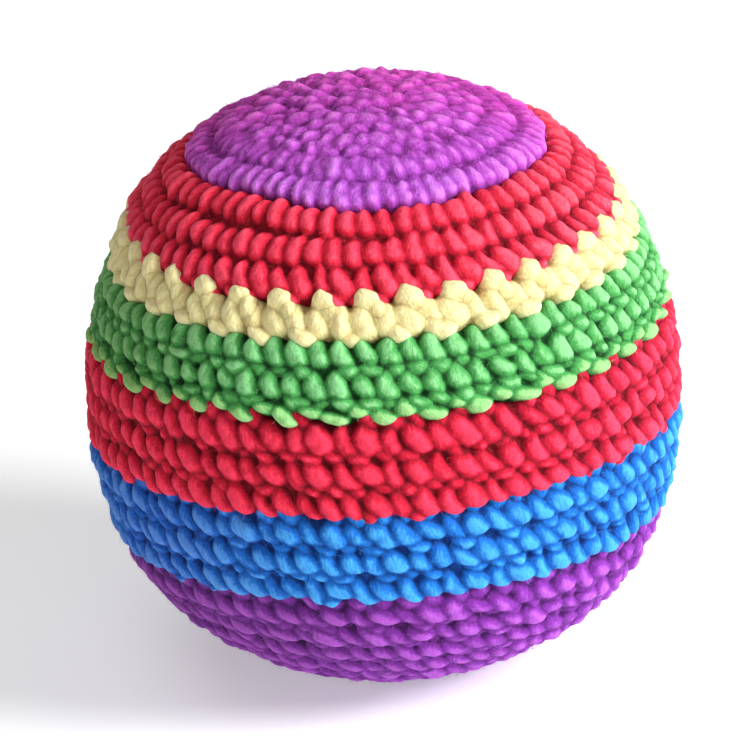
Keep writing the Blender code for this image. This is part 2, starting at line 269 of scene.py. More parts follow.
def lobesOfRound(spec, ring, kind, latitudes, surface, random):
    # One lobe for every stitch of a round. With u along the lobe and v across it,
    # q = |u / half length|^end power + |v / half width|^side power, and the lobe's height is its
    # top less lobeHeight x (1 - (1 - q)^roundness). A lobe is squeezed with its stitch. Also the
    # place on the strand, u with v as on a round strand, and the lobe's tone
    latitude, height, stitches, start = ring[0] * deg, ring[1] * deg, ring[2], ring[3] * deg
    along, up, length, width, lean, bend, top, leanSpread, sizeSpread, topSpread, share = lobes[kind]
    around, patch = surface.shape[1], yarn["patch"]
    chance = random.normal(0, 1, (6, stitches))
    missing = random.uniform(0, 1, stitches) > share
    radius = outlineReach(latitude) * math.cos(latitude) / mm
    narrow = 2 * math.pi * radius / stitches / yarn["stitchWidth"]
    tall = height * outlineReach(latitude) / mm / yarn["stitchHeight"]
    place = np.arange(stitches) * yarn["stitchWidth"] + along + yarn["wander"] * chance[0]
    azimuth = start + place * narrow / radius
    row = latitude + ((up + yarn["wander"] * chance[1]) / yarn["stitchHeight"] - 0.5) * height
    lean = (lean + spec.get("lean", 0) + leanSpread * chance[2]) * deg
    halfLength = length / 2 * (1 + sizeSpread * chance[3])
    halfWidth = width / 2 * (1 + sizeSpread * chance[4])
    stand = top + topSpread * chance[5] - yarn["farBelow"] * missing

    # the grid's points in the patch round each lobe's middle
    step = latitudes[1] - latitudes[0]
    rowReach = math.ceil(patch * mm / outlineReach(latitude) / step)
    least = max(yarn["poleRadius"], radius - patch * abs(math.sin(latitude)))
    columnReach = math.ceil(patch / least * around / (2 * math.pi))
    columns = np.arange(-columnReach, columnReach + 1) if 2 * columnReach < around else np.arange(around)
    rowIndex = np.round((row - latitudes[0]) / step).astype(int)[:, None, None]
    rowIndex = rowIndex + np.arange(-rowReach, rowReach + 1)[None, :, None]
    columnIndex = np.round(azimuth * around / (2 * math.pi)).astype(int)[:, None, None]
    columnIndex = (columnIndex + columns[None, None, :]) % around
    lobe = np.arange(stitches)[:, None, None]
    rowIndex, columnIndex, lobe = (a.ravel() for a in np.broadcast_arrays(rowIndex, columnIndex, lobe))
    inside = (rowIndex >= 0) & (rowIndex < len(latitudes))
    rowIndex, columnIndex, lobe = rowIndex[inside], columnIndex[inside], lobe[inside]

    offset = (surface[rowIndex, columnIndex] - ballPoint(row, azimuth, 0.0)[lobe]) / mm
    east, north = eastAndNorth(row, azimuth)
    x = np.sum(offset * east[lobe], axis=-1) / narrow
    y = np.sum(offset * north[lobe], axis=-1) / tall
    u = y * np.cos(lean)[lobe] - x * np.sin(lean)[lobe]
    v = x * np.cos(lean)[lobe] + y * np.sin(lean)[lobe]
    a, b = halfLength[lobe], halfWidth[lobe]
    v = v - bend * ((u / a) ** 2 - 0.5) * 2 * b
    q = np.abs(u / a) ** yarn["endPower"] + np.abs(v / b) ** yarn["sidePower"]
    on = q < 1
    u, v, a, b, q, lobe = u[on], v[on], a[on], b[on], q[on], lobe[on]
    fall = yarn["lobeHeight"] * (1 - (1 - q) ** yarn["roundness"])
    high = stand[lobe] - yarn["tilt"] * u / a + yarn["side"] * v / b - fall
    high *= spec.get("relief", 1) * (1 - yarn["flatten"] + yarn["flatten"] * narrow)
    started = random.uniform(0, yarn["strandLength"], stitches)
    strand = together(u + started[lobe], v, np.sqrt(np.maximum(b * b - v * v, 0)))
    tone = random.uniform(0, yarn["toneSpread"], stitches)[lobe]
    if kind.startswith("hang"):
        tone = tone + yarn["paleTone"]
    return rowIndex[on] * around + columnIndex[on], high, strand, tone


def bandOfYarn(spec):
    # The outer skin is the highest of the band's lobes and of the gap depth, which falls to the
    # hidden depth past the band's edges, less a crease of seamDepth x exp(-(highest - second) /
    # seamReach) where two lobes meet. Sunk, for the colour, is the depth with hollows and creases
    # counted more, so that the colour paints shade into the hollows and creases
    random = np.random.default_rng(spec["seed"])
    low, high = spec["edges"]
    spare = yarn["hiddenReach"] * mm / ball["halfWidth"]
    lowest = -math.pi / 2 if low == -90 else low * deg - spare
    highest = math.pi / 2 if high == 90 else high * deg + spare
    widest = max(math.cos(lowest), math.cos(highest), 1.0 if lowest < 0 < highest else 0)
    cell = spec.get("cell", yarn["cell"]) * mm
    around = round(2 * math.pi * ball["halfWidth"] * widest / cell)
    latitudes = np.linspace(lowest, highest, round((highest - lowest) * ball["halfWidth"] / cell) + 1)
    if low == -90:
        latitudes = latitudes[1:]
    if high == 90:
        latitudes = latitudes[:-1]
    surface = ballPoint(latitudes[:, None], turns(around)[None, :], 0.0)
    found = [
        lobesOfRound(spec, ring, kind, latitudes, surface, random)
        for ring in spec["rounds"]
        for kind in ring[4]
    ]
    place, lobeHigh, strandAt, toneAt = (np.concatenate(part) for part in zip(*found))

    relief = spec.get("relief", 1)
    edge = yarn["edgeFall"] * mm / ball["halfWidth"]
    past = np.maximum(0, np.maximum(latitudes - high * deg, low * deg - latitudes) + edge) / (spare + edge)
    gap = yarn["gapDepth"] * relief
    sunkEdge = gap + (yarn["hiddenDepth"] - gap) * smoothStep(past)
    best = -np.repeat(sunkEdge, around)
    gapLevel = best.copy()
    np.maximum.at(best, place, lobeHigh)
    chosen = lobeHigh >= best[place]
    second = gapLevel - yarn["farBelow"]
    np.maximum.at(second, place[~chosen], lobeHigh[~chosen])
    second = np.maximum(second, gapLevel - yarn["farBelow"] * (best <= gapLevel))
    seam = spec.get("seam", 1) * np.exp((second - best) / yarn["seamReach"])
    skin = (best - yarn["seamDepth"] * relief * seam).reshape(-1, around)

    widths = np.cos(latitudes) / widest
    lumps = soften(random.normal(0, 1, skin.shape), yarn["lumpSoftness"], widths)
    skin = soften(skin, spec.get("softness", yarn["softness"]), widths)
    skin = skin + yarn["lumps"] * lumps / lumps.std()
    strand = surface.reshape(-1, 3) / mm
    strand[place[chosen]] = strandAt[chosen]
    tone = np.full(best.size, 0.5)
    tone[place[chosen]] = toneAt[chosen]
    # painted shade for the colour: creases and hollows count as deeper than they are
    seam = soften(seam.reshape(-1, around), yarn["seamSoftness"], widths)
    hollow = soften(skin, yarn["hollowSoftness"], widths) - skin
    sunk = yarn["paintedHollowShade"] * hollow + yarn["paintedSeamShade"] * seam - skin
    return latitudes, skin, sunk, strand, tone


mapShare = 0.97   # of a band's map, for what shows
mapMargin = 0.01  # of a strip's height, left free at its ends


def closedBand(latitudes, skin, atBottom, atTop):
    # Outer skin's rows from the lowest up, inner skin's rows back down, joined at both edges. At a
    # pole one point closes each skin instead. The map lays the outer skin out as strips, one above
    # the other, and the rest in a thin strip over them
    outerRows, around = skin.shape
    innerRows = max(3, int((latitudes[-1] - latitudes[0]) / yarn["innerStep"]))
    inner = np.linspace(latitudes[-1], latitudes[0], innerRows)
    outerPoints = ballPoint(latitudes[:, None], turns(around)[None, :], -skin * mm)
    innerPoints = ballPoint(inner[:, None], turns(around)[None, :], yarn["innerDepth"] * mm)
    points = np.concatenate([outerPoints, innerPoints]).reshape(-1, 3)
    rows = outerRows + innerRows
    joined = np.ones(rows, bool)  # to the next row
    joined[outerRows - 1] = not atTop
    joined[rows - 1] = not atBottom
    row, column = gridCells(np.flatnonzero(joined), around)
    quads = gridQuads(row, column, (row + 1) % rows, (column + 1) % around, around)
    strips = max(1, round(math.sqrt(around / outerRows)))
    columns = -(-around // strips)

    def onMap(row, column, strip):
        up = (strip + inset((row + 1) / (outerRows + 1), mapMargin)) / strips * mapShare
        return inset((column - strip * columns) / columns, mapMargin / 2), up

    def offMap(row, column):
        return column / around, mapShare + (1 - mapShare) * (row - outerRows + 2) / (rows - outerRows + 3)

    shown = (row < outerRows - 1)[:, None, None]
    corners = ((row, column), (row, column + 1), (row + 1, column + 1), (row + 1, column))
    skinMap = mapOf(*(onMap(*corner, column // columns) for corner in corners))
    cornerMap = np.where(shown, skinMap, mapOf(*(offMap(*corner) for corner in corners))).reshape(-1, 2)
    if not (atTop or atBottom):
        return points, quads, np.zeros((0, 3), int), cornerMap

    outerRow, innerRow, beyond = (outerRows - 1, outerRows, outerRows) if atTop else (0, rows - 1, -1)
    depths = np.array([-skin[outerRow].mean(), yarn["innerDepth"]]) * mm
    poles = ballPoint(np.full(2, 90 * deg if atTop else -90 * deg), np.zeros(2), depths)
    column = np.arange(around)
    nextColumn, strip = (column + 1) % around, column // columns
    triangles = np.concatenate([
        gridFan(outerRow, column, nextColumn, around, len(points)),
        gridFan(innerRow, nextColumn, column, around, len(points) + 1),
    ])
    fanMap = np.concatenate([
        mapOf(
            onMap(outerRow, column, strip),
            onMap(outerRow, column + 1, strip),
            onMap(beyond, column + 0.5, strip),
        ),
        mapOf(offMap(innerRow, column + 1), offMap(innerRow, column), offMap(innerRow + 0.5, column + 0.5)),
    ])
    if atBottom:
        triangles, fanMap = triangles[:, ::-1], fanMap[:, ::-1]
    cornerMap = np.concatenate([cornerMap, fanMap.reshape(-1, 2)])
    return np.concatenate([points, poles]), quads, triangles, cornerMap


straight = ("upright", "uprightPair")
rim = ("rim", "rimPair")
felted = ("lump", "lumpLeft", "lumpRight", "lumpOver")
level = ("bar", "barPair", "leg", "pair")
slanting = ("slant", "bead", "crescent", "oval")
first = ("over", "overPair", *slanting)
last = ("edgeBar", "crescent", "oval")

# The bands from the top down. Edges are latitudes in degrees. Colours are deep, middle, light and
# pale: the painted shade of the hollows, the flanks, the painted highlight of the crests and the pale
# lobes. A tint is painted lighting on one side of the band, lighter on some bands and darker on
# others: an axis, where along it the tint starts and where it is full, and its colour.
# A round is its middle's latitude, height in degrees, stitches, where the first one starts in
# degrees, and its lobes. Relief, seam and fuzz multiply those of the other bands, and lean adds
# degrees to every lobe's.
bands = [
    {
        "name": "crown_purple_yarn", "node": "crown_purple_band", "slot": "purple_yarn",
        "edges": (56.8, 90), "seed": 11, "relief": 0.8, "softness": 6, "seam": 0.8, "fuzz": 2.2,
        "colours": ((0.20, 0.014, 0.24), (0.45, 0.076, 0.56), (0.64, 0.21, 0.77)),
        # painted glow of the far rim: the crown turns pinker towards the back
        "paintedSideLight": (1, -17 * mm, 14 * mm, (1.25, 0.55, 0.70)),
        "rounds": [
            (89.2, 6.4, 1, 0, ("cap",)), (85.6, 6.4, 3, 10, felted), (79.0, 6.6, 9, 8, felted),
            (72.0, 6.6, 15, 0.5, felted), (65.6, 6.5, 26, 2.8, ("lumpLeft", *rim)),
            (59.2, 6.3, 32, -1.3, rim),
        ],
    },
    {
        "name": "upper_red_yarn", "node": "upper_red_band", "slot": "red_yarn",
        "edges": (36.5, 56.8), "seed": 12,
        "colours": ((0.26, 0.001, 0.010), (0.72, 0.012, 0.046), (0.93, 0.070, 0.135)),
        # painted light: the right side, towards the key lamp, turns paler and washed out
        "paintedSideLight": (0, 0, 22 * mm, (0.86, 1.35, 1.15)),
        "rounds": [
            (53.3, 6.3, 31, 1.3, straight), (47.0, 6.3, 33, -2.2, straight),
            (40.7, 6.4, 34, -4.2, slanting),
        ],
    },
    {
        "name": "cream_yarn_round", "node": "cream_band", "slot": "cream_yarn",
        "edges": (29.8, 36.5), "seed": 13, "softness": 5, "seam": 0.7,
        "colours": ((0.60, 0.47, 0.18), (0.81, 0.70, 0.33), (0.85, 0.75, 0.39)),
        "rounds": [(33.2, 6.5, 35, 0.1, ("creamTail", "creamPair", "creamLeg", "neck", "tip"))],
    },
    {
        "name": "green_yarn_rounds", "node": "green_band", "slot": "green_yarn",
        "edges": (14.2, 29.8), "seed": 14,
        "colours": ((0.006, 0.065, 0.012), (0.070, 0.365, 0.084), (0.24, 0.61, 0.25), (0.31, 0.66, 0.24)),
        # painted shade: the left side, away from the key lamp, turns darker and duller
        "paintedSideLight": (0, -8 * mm, -26 * mm, (0.82, 0.70, 0.60)),
        "rounds": [
            (27.0, 6.4, 37, -0.2, level), (20.8, 6.4, 37, -1.0, level),
            (15.3, 4.6, 37, -2.6, ("hang", "hangPair")),
        ],
    },
    {
        "name": "lower_red_yarn", "node": "lower_red_band", "slot": "red_yarn",
        "edges": (-4.8, 14.2), "seed": 15, "cell": 0.157,
        "colours": ((0.19, 0.0005, 0.007), (0.58, 0.0045, 0.032), (0.89, 0.038, 0.098)),
        # painted light: the right side, towards the key lamp, turns paler and washed out
        "paintedSideLight": (0, 4 * mm, 26 * mm, (0.95, 1.35, 1.25)),
        "rounds": [
            (10.5, 6.6, 38, -0.1, first), (3.8, 6.5, 38, -0.4, slanting), (-2.9, 6.4, 39, 0.9, last),
        ],
    },
    {
        "name": "blue_yarn_rounds", "node": "blue_band", "slot": "blue_yarn",
        "edges": (-26.9, -4.8), "seed": 16, "cell": 0.166, "lean": 6,
        "colours": ((0.002, 0.042, 0.25), (0.004, 0.16, 0.61), (0.058, 0.39, 0.85)),
        # painted shade: the left side, away from the key lamp, turns darker and more violet
        "paintedSideLight": (0, -4 * mm, -22 * mm, (1.45, 0.62, 0.78)),
        "rounds": [
            (-9, 6.5, 39, 1.1, first), (-15.5, 6.5, 40, 3.6, slanting), (-22.4, 6.6, 38, 1.1, last),
        ],
    },
    {
        "name": "base_purple_yarn", "node": "base_purple_band", "slot": "purple_yarn",
        "edges": (-90, -26.9), "seed": 17, "cell": 0.22, "lean": 12,
        "colours": ((0.068, 0.0040, 0.12), (0.245, 0.028, 0.385), (0.475, 0.105, 0.64)),
        # painted shade: the left side, away from the key lamp, turns darker
        "paintedSideLight": (0, 14 * mm, -22 * mm, (0.62, 0.57, 0.60)),
        "rounds": [
            (-29.5, 6.4, 34, 0.5, first), (-35.5, 6.4, 33, -1.9, slanting), (-42, 6.4, 31, 0, slanting),
            (-48.4, 6.4, 29, 2, slanting), (-54.8, 6.4, 26, 1, slanting), (-61.2, 6.4, 23, 3, slanting),
            (-67.6, 6.4, 19, 0, slanting), (-74, 6.4, 14, 5, slanting), (-80, 6.2, 10, 9, slanting),
            (-86, 6.0, 6, 0, ("crescent", "oval")),
        ],
    },
]


def shaderGroup(name, inputs, outputs):
    # an empty node group with named sockets, and its input and output nodes
    group = bpy.data.node_groups.new(name, "ShaderNodeTree")
    for label, kind, value in inputs:
        socket = group.interface.new_socket(label, in_out="INPUT", socket_type="NodeSocket" + kind)
        if value is not None:
            socket.default_value = value
    for label, kind in outputs:
        group.interface.new_socket(label, in_out="OUTPUT", socket_type="NodeSocket" + kind)
    return group, group.nodes.new("NodeGroupInput").outputs, group.nodes.new("NodeGroupOutput").inputs


def addNode(tree, kind, inputs=None, **settings):
    # one shader node with its settings. Each input is fed by another node's output or holds a value
    node = tree.nodes.new(kind)
    for key, value in settings.items():
        setattr(node, key, value)
    for key, value in (inputs or {}).items():
        if isinstance(value, bpy.types.NodeSocket):
            tree.links.new(value, node.inputs[key])
        else:
            node.inputs[key].default_value = value
    return node


def mathNode(tree, operation, *terms):
    return addNode(tree, "ShaderNodeMath", dict(enumerate(terms)), operation=operation).outputs[0]


def noiseNode(tree, place, scale, detail, roughness=0.5):
    values = {"Vector": place, "Scale": scale, "Detail": detail, "Roughness": roughness}
    return addNode(tree, "ShaderNodeTexNoise", values).outputs[0]


def rangeNode(tree, value, start, end, ease="LINEAR", toStart=0.0, toEnd=1.0):
    # from one range to another, held within it
    values = {"Value": value, "From Min": start, "From Max": end, "To Min": toStart, "To Max": toEnd}
    return addNode(tree, "ShaderNodeMapRange", values, interpolation_type=ease).outputs[0]


def mixNode(tree, share, colour, other, blend="MIX"):
    # two colours, each an output or red, green and blue. Sockets 6 and 7 are a Mix node's colours
    colour, other = ((*c, 1) if isinstance(c, tuple) else c for c in (colour, other))
    values = {"Factor": share, 6: colour, 7: other}
    return addNode(tree, "ShaderNodeMix", values, data_type="RGBA", blend_type=blend).outputs[2]


def newMaterial(name, values):
    # a material, its node tree and its Principled shader with these values
    material = bpy.data.materials.new(name)
    material.use_nodes = True
    shader = material.node_tree.nodes["Principled BSDF"]
    for key, value in values.items():
        shader.inputs[key].default_value = value
    return material, material.node_tree, shader


def coverShader(tree, shader, colour, *bumps, invert=False):
    # feeds the shader a colour and bumps, one upon the other, each of strength, distance and height
    tree.links.new(colour, shader.inputs["Base Color"])
    normal = {}
    for strength, distance, height in bumps:
        values = {"Strength": strength, "Distance": distance, "Height": height, **normal}
        normal = {"Normal": addNode(tree, "ShaderNodeBump", values, invert=invert).outputs[0]}
    tree.links.new(normal["Normal"], shader.inputs["Normal"])


def makeFibreGroup():
    # yarn: noise drawn out along the strand and wound round it by twist x the place along it, the
    # plies, 0.5 + 0.5 cos(plies x wound angle), that fibres are spun into, and plain mottle
    group, given, result = shaderGroup(
        "wound fibres",
        [
            ("Strand", "Vector", None), ("Twist", "Float", 0.55),
            ("Plies", "Float", 3.0), ("Fibre Size", "Float", 5.0),
        ],
        [("Fibres", "Float"), ("Plies", "Float"), ("Mottle", "Float")],
    )
    fibreStretch = 0.16
    along, across, out = addNode(group, "ShaderNodeSeparateXYZ", {0: given["Strand"]}).outputs
    turn = mathNode(group, "ARCTAN2", out, across)
    wound = mathNode(group, "MULTIPLY_ADD", along, given["Twist"], turn)
    plyWave = mathNode(group, "COSINE", mathNode(group, "MULTIPLY", wound, given["Plies"]))
    place = addNode(group, "ShaderNodeCombineXYZ", {
        0: mathNode(group, "MULTIPLY", along, fibreStretch),
        1: mathNode(group, "COSINE", wound),
        2: mathNode(group, "SINE", wound),
    }).outputs[0]
    group.links.new(noiseNode(group, place, given["Fibre Size"], 3.0, 0.6), result["Fibres"])
    group.links.new(mathNode(group, "MULTIPLY_ADD", plyWave, 0.5, 0.5), result["Plies"])
    group.links.new(noiseNode(group, given["Strand"], 3.0, 3.0, 0.65), result["Mottle"])
    return group


def makeToneGroup():
    # colour of yarn: painted highlight on the crests, middle on the flanks and painted shade in the
    # hollows, by how sunk the point is. Fibres, mottle and the lobe's own tone shift that, fibres also
    # darken or lighten the colour a little, and a lobe of tone above 1 is pale
    group, given, result = shaderGroup(
        "yarn tone",
        [
            *((shade, "Color", None) for shade in ("Painted Shade", "Middle", "Light", "Pale")),
            ("Sunk", "Float", 0.0),
            *((label, "Float", 0.5) for label in ("Fibres", "Mottle", "Lobe")),
        ],
        [("Colour", "Color")],
    )
    paler = rangeNode(group, given["Lobe"], 0.92, 1.02)
    ownTone = mathNode(group, "SUBTRACT", given["Lobe"], paler)
    depth = given["Sunk"]
    for source, weight in ((given["Fibres"], -0.5), (given["Mottle"], -0.9), (ownTone, -0.30)):
        depth = mathNode(group, "MULTIPLY_ADD", mathNode(group, "ADD", source, -0.5), weight, depth)
    # painted highlight on the crests, then painted shade: the flanks take the middle colour, the hollows the
    # deep one
    mixed = mixNode(group, paler, given["Light"], given["Pale"])
    mixed = mixNode(group, rangeNode(group, depth, -0.20, 0.50, "SMOOTHSTEP"), mixed, given["Middle"])
    mixed = mixNode(group, rangeNode(group, depth, 0.50, 1.60, "SMOOTHSTEP"), mixed, given["Painted Shade"])
    grain = rangeNode(group, given["Fibres"], 0.3, 0.7, "LINEAR", 0.84, 1.08)
    grained = addNode(group, "ShaderNodeVectorMath", {0: mixed, 1: grain}, operation="MULTIPLY")
    group.links.new(grained.outputs[0], result["Colour"])
    return group


fibreGroup = makeFibreGroup()
toneGroup = makeToneGroup()
patchShift = 6 * mm  # how far its patches move a tint's edge either way


def paintSideLight(tree, colour, axis, start, end, paintedSideLight):
    # painted lighting: the colour times the tint, none at the start and full at the end, so that one
    # side of the band looks lit or shaded, with the place along the axis shifted by noise so that the
    # change comes in patches
    place = addNode(tree, "ShaderNodeTexCoord").outputs["Object"]
    along = addNode(tree, "ShaderNodeSeparateXYZ", {0: place}).outputs[axis]
    shifted = mathNode(tree, "MULTIPLY_ADD", noiseNode(tree, place, 160.0, 2.0), 2 * patchShift, along)
    share = rangeNode(tree, shifted, start + patchShift, end + patchShift, "SMOOTHSTEP")
    return mixNode(tree, share, colour, paintedSideLight, "MULTIPLY")


def yarnMaterial(name, paintedSideLight, shadeColour, middle, highlightColour, pale=(1, 1, 1)):
    # soft dull yarn, coloured by how sunk each point is: painted shade in the hollows and creases,
    # painted highlight on the crests
    material, tree, shader = newMaterial(name, {
        "Roughness": 0.7,
        "Specular IOR Level": 0.22,
        "Subsurface Weight": 0.55,
        "Subsurface Radius": (1.0, 0.6, 0.6),
        "Subsurface Scale": 0.9 * mm,
    })
    strand = addNode(tree, "ShaderNodeAttribute", attribute_name="strand").outputs["Vector"]
    fibres = addNode(tree, "ShaderNodeGroup", {"Strand": strand}, node_tree=fibreGroup).outputs
    shades = {"Painted Shade": shadeColour, "Middle": middle, "Light": highlightColour, "Pale": pale}
    colour = addNode(tree, "ShaderNodeGroup", {
        **{label: (*shade, 1) for label, shade in shades.items()},
        "Sunk": addNode(tree, "ShaderNodeAttribute", attribute_name="sunk").outputs["Fac"],
        "Lobe": addNode(tree, "ShaderNodeAttribute", attribute_name="tone").outputs["Fac"],
        "Fibres": fibres["Fibres"],
        "Mottle": fibres["Mottle"],
    }, node_tree=toneGroup).outputs["Colour"]
    # painted light and shade on one side of the band, by its tint
    if paintedSideLight:
        colour = paintSideLight(tree, colour, *paintedSideLight)
    coverShader(
        tree, shader, colour,
        (0.35, 0.2 * mm, fibres["Plies"]),
        (0.8, 0.3 * mm, fibres["Mottle"]),
        (0.4, 0.15 * mm, fibres["Fibres"]),
    )
    return material


for band in bands:
    latitudes, skin, sunk, strand, tone = bandOfYarn(band)
    low, high = band["edges"]
    points, quads, triangles, cornerMap = closedBand(latitudes, skin, low == -90, high == 90)
    rest = len(points) - skin.size
    strand = np.concatenate([strand, points[skin.size:] / mm])
    tone = np.concatenate([tone, np.full(rest, 0.5)])
    # every point beyond the outer skin's grid, the inner skin and both pole points, gets the painted shade of
    # the hidden depth
    sunk = np.concatenate([sunk.ravel(), np.full(rest, yarn["hiddenDepth"])])
    points[:, 2] = np.maximum(points[:, 2], 0.0)  # flat on the floor
    pointValues = {"strand": strand, "tone": tone, "sunk": sunk}
    piece = makeMesh(band["name"], points, quads, triangles, pointValues, cornerMap)
    piece.data.materials.append(yarnMaterial(band["name"], band.get("paintedSideLight"), *band["colours"]))
    standFor(piece, band["node"])
    print("yarn:", band["name"], 2 * len(quads) + len(triangles), "triangles")
    band["skin"] = latitudes, skin

# The pouch inside: sizes in mm. The neck's levels are radius, height above the shoulder and how
# far the pleats stand in and out, outside and inside.
pouch = {
    "halfWidth": 24.9,
    "halfHeight": (25.3, 20.85),  # below and above its middle
    "shoulder": 48.65,
    "outside": ((3.5, -0.10, 0.30), (3.1, 0.0, 0.25), (2.1, 0.6, 0.0), (2.1, 3.05, 0.0), (3.4, 4.15, 0.5)),
    "inside": ((2.9, -0.60, 0.30), (2.5, -0.5, 0.25), (0.9, 0.4, 0.0), (0.9, 3.05, 0.0), (2.4, 4.15, 0.5)),
    "thickness": 0.45,
    "pleats": 7,
    "gather": 0.55,          # depth of the gathers that run down from the neck
    "gatherFades": 45 * deg,  # below the top, where they end
    "wrinkle": 0.18,
    "wrinkleSoftness": 24,   # how many times the wrinkles' noise is softened
    "around": 288,
    "rings": 130,
    "neckRings": 36,
    "seed": 31,
}


def wallOfPouch(levels, thickness):
    # Radius and height, in mm, round a wall of the pouch from the base up to the frill's edge: a
    # superellipse with gathers, cos(pleats x azimuth) and its half-strength double, that fade down
    # from the neck, then the neck's levels joined up smoothly
    random = np.random.default_rng(pouch["seed"])
    azimuth = turns(pouch["around"])
    halfWidth = pouch["halfWidth"] - thickness
    latitude = np.linspace(-90 * deg, math.acos(levels[0][0] / halfWidth), pouch["rings"] + 1)[1:]
    halfHeight = np.where(latitude > 0, pouch["halfHeight"][1], pouch["halfHeight"][0]) - thickness
    reach = ellipseReach(latitude, halfWidth, halfHeight)
    folds = np.cos(pouch["pleats"] * azimuth) + 0.5 * np.cos(2 * pouch["pleats"] * azimuth + 1)
    folds = 0.5 - 0.5 * folds / 1.5
    noise = random.normal(0, 1, (pouch["rings"], pouch["around"]))
    noise = soften(noise, pouch["wrinkleSoftness"], np.cos(latitude))
    noise = smoothStep(0.5 + noise / noise.std() / 4)
    fade = smoothStep(1 - (90 * deg - latitude) / pouch["gatherFades"])
    sunk = pouch["gather"] * fade[:, None] * folds[None, :] + pouch["wrinkle"] * noise
    reach = reach[:, None] - sunk
    radius = reach * np.cos(latitude)[:, None]
    height = ball["centreHeight"] / mm + reach * np.sin(latitude)[:, None]
    at = np.linspace(0, len(levels) - 1, pouch["neckRings"])
    eased = np.floor(at) + smoothStep(at - np.floor(at))
    neckRadius, neckHeight, fold = (np.interp(eased, np.arange(len(levels)), part) for part in zip(*levels))
    radius = np.concatenate([radius, neckRadius[:, None] + fold[:, None] * np.cos(pouch["pleats"] * azimuth)])
    height = np.concatenate([height, (pouch["shoulder"] + neckHeight)[:, None] + 0 * azimuth])
    return roundAxis(radius, azimuth, height)


def addPouch():
    # the outside wall up, the inside wall back down, and one point to close each at the base
    outside = wallOfPouch(pouch["outside"], 0)
    inside = wallOfPouch(pouch["inside"], pouch["thickness"])[::-1]
    around = pouch["around"]
    grid = np.concatenate([outside, inside])
    rows = len(grid)
    bases = np.array([[0, 0, outside[0, :, 2].mean()], [0, 0, inside[-1, :, 2].mean()]])
    points = np.concatenate([grid.reshape(-1, 3), bases])

    def onMap(row, column):
        return inset(column / around, mapMargin), inset((row + 1) / (rows + 1), mapMargin)

    row, column = gridCells(np.arange(rows - 1), around)
    quads = gridQuads(row, column, row + 1, (column + 1) % around, around)
    corners = ((row, column), (row, column + 1), (row + 1, column + 1), (row + 1, column))
    quadMap = mapOf(*(onMap(*corner) for corner in corners))
    column = np.arange(around)
    nextColumn = (column + 1) % around
    triangles = np.concatenate([
        gridFan(0, nextColumn, column, around, rows * around),
        gridFan(rows - 1, column, nextColumn, around, rows * around + 1),
    ])
    fanMap = np.concatenate([
        mapOf(onMap(0, column + 1), onMap(0, column), onMap(-1, column + 0.5)),
        mapOf(onMap(rows - 1, column), onMap(rows - 1, column + 1), onMap(rows, column + 0.5)),
    ])
    lengths = np.linalg.norm(np.diff(grid[:, 0], axis=0), axis=-1)
    steps = np.concatenate([np.zeros(1), np.cumsum(lengths)])
    arc = np.concatenate([np.repeat(steps, around), [0, steps[-1]]])
    cornerMap = np.concatenate([quadMap.reshape(-1, 2), fanMap.reshape(-1, 2)])
    return makeMesh("liner_pouch_cloth", points * mm, quads, triangles, {"arc": arc}, cornerMap)


# The thread round the pouch's neck, in mm: two turns that change places once on each lap.
tie = {
    "radius": 0.35,
    "middleRadius": 3.325,
    "middleHeight": 50.475,
    "swing": 0.575,
    "plies": 3,
    "twists": 34,            # of its plies, in thirds of a turn, over both laps
    "plyDepth": 0.07,
    "stations": 720,
    "sides": 18,
    "strips": 16,            # the map lays the thread out in that many lengths, one above the other
}


def addTie():
    # a tube round the path (R + swing sin(t/2)) at angle t, height swing cos(t/2). The section's
    # radius is less by plyDepth x |sin|^3 between plies, which turn as it goes
    stations, sides = tie["stations"], tie["sides"]
    t = np.arange(stations) * 4 * math.pi / stations
    phi = turns(sides)
    ring = tie["middleRadius"] + tie["swing"] * np.sin(t / 2)
    height = tie["middleHeight"] + tie["swing"] * np.cos(t / 2)
    between = np.abs(np.sin(tie["plies"] * phi[None, :] / 2 + tie["twists"] * t[:, None] / 4)) ** 3
    section = tie["radius"] - tie["plyDepth"] * between
    out, up = section * np.cos(phi), section * np.sin(phi)
    points = roundAxis(ring[:, None] + out, t[:, None], height[:, None] + up).reshape(-1, 3) * mm
    i, j = gridCells(np.arange(stations), sides)
    quads = gridQuads(i, j, (i + 1) % stations, (j + 1) % sides, sides)[:, [0, 3, 2, 1]]
    run = stations // tie["strips"]

    def onMap(i, j, strip):
        up = (strip + inset(j / sides, 6 * mapMargin)) / tie["strips"]
        return inset((i - strip * run) / run, 2 * mapMargin), up

    cornerMap = mapOf(*(onMap(a, b, i // run) for a, b in ((i, j), (i + 1, j), (i + 1, j + 1), (i, j + 1))))
    none = np.zeros((0, 3), int)
    values = {"between": between.ravel()}
    return makeMesh("liner_tie_thread", points, quads, none, values, cornerMap.reshape(-1, 2))


